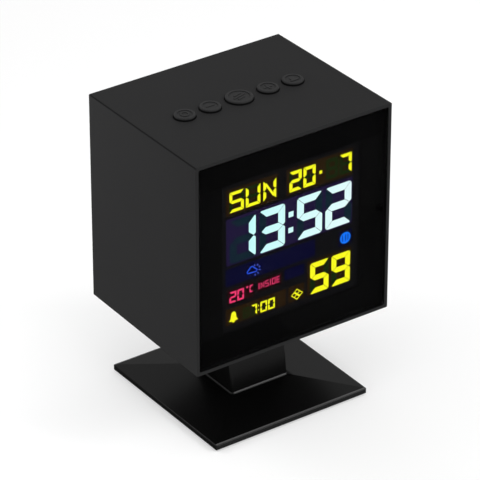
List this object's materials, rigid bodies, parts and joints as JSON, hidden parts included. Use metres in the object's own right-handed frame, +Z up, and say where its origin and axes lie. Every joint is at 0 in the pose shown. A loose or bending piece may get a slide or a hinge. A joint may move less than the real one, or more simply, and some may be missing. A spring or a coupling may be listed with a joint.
{
  "type": "digital alarm clock",
  "caption": "Cube-shaped digital alarm clock: dark front panel over a lit colour display, round push buttons on top, rear battery door, square pyramid stand.",
  "frame": {"origin": "on the resting surface, under the middle of the stand's square base", "axes": "+Z up, the display faces -Y, +X is the right-hand side of the display for a person who reads it"},
  "size_m": [0.078, 0.0628, 0.1111],
  "materials": {
    "case": "fine matt moulded black",
    "rear": "fine matt moulded black",
    "keys": "matt moulded black",
    "panel": "smoked clear acrylic",
    "tape": "black foam tape",
    "frame": "matt black",
    "display": "dark negative display glass",
    "guide": "clear acrylic",
    "white": "matt white",
    "lamp": "yellow phosphor lamp",
    "strip": "layered silicone",
    "board": "green solder mask",
    "chip": "moulded epoxy",
    "sensor": "dark clear plastic",
    "plunger": "natural nylon",
    "screw": "zinc plated",
    "dark_screw": "black zinc",
    "lead": "grey flat lead",
    "cell": "printed sleeve, plain",
    "spring_steel": "nickel plated",
    "inlet": "nickel plated shell",
    "stand": "satin moulded black",
    "steel": "rolled steel",
    "base": "matt moulded black",
    "foot": "matt rubber"
  },
  "bodies": {
    "clock": {"housing": "case", "rear_cover": "rear", "front_lens": "panel", "lens_tape": "tape", "display_frame": "frame", "lcd_panel": "display", "light_guide": "guide", "reflector": "white", "board_sockets": "white", "backlight_leds": "lamp", "contact_strips": "strip", "main_board": "board", "button_board": "board", "usb_board": "board", "climate_sensor": "board", "controller_chip": "chip", "switch_bodies": "chip", "buzzer": "chip", "light_sensor": "sensor", "sensor_pipe": "sensor", "display_screws": "screw", "board_screws": "screw", "button_board_screws": "screw", "stand_screws": "screw", "rear_cover_screws": "dark_screw", "base_cover_screws": "dark_screw", "button_lead": "lead", "power_lead": "lead", "batteries": "cell", "battery_contacts": "spring_steel", "usb_socket": "inlet", "stand": "stand", "stand_clamp": "steel", "weight_plate": "steel", "base_cover": "base", "rubber_feet": "foot"},
    "mode_key": {"mode_button": "keys", "mode_plunger": "plunger"},
    "minus_key": {"minus_button": "keys", "minus_plunger": "plunger"},
    "snooze_key": {"snooze_button": "keys", "snooze_plunger": "plunger"},
    "plus_key": {"plus_button": "keys", "plus_plunger": "plunger"},
    "alarm_key": {"alarm_button": "keys", "alarm_plunger": "plunger"},
    "door": {"battery_door": "rear"}
  },
  "joints": [
    {"name": "mode_press", "type": "slide", "parent": "clock", "child": "mode_key", "axis": [0, 0, -1], "range_m": [0, 0.0005], "stiffness_N_per_m": 1000, "springref_m": -0.0005},
    {"name": "minus_press", "type": "slide", "parent": "clock", "child": "minus_key", "axis": [0, 0, -1], "range_m": [0, 0.0005], "stiffness_N_per_m": 1000, "springref_m": -0.0005},
    {"name": "snooze_press", "type": "slide", "parent": "clock", "child": "snooze_key", "axis": [0, 0, -1], "range_m": [0, 0.0005], "stiffness_N_per_m": 1000, "springref_m": -0.0005},
    {"name": "plus_press", "type": "slide", "parent": "clock", "child": "plus_key", "axis": [0, 0, -1], "range_m": [0, 0.0005], "stiffness_N_per_m": 1000, "springref_m": -0.0005},
    {"name": "alarm_press", "type": "slide", "parent": "clock", "child": "alarm_key", "axis": [0, 0, -1], "range_m": [0, 0.0005], "stiffness_N_per_m": 1000, "springref_m": -0.0005},
    {"name": "door_hinge", "type": "hinge", "parent": "clock", "child": "door", "pos_m": [0, 0.0292, 0.0816], "axis": [1, 0, 0], "range_deg": [0, 90]}
  ]
}
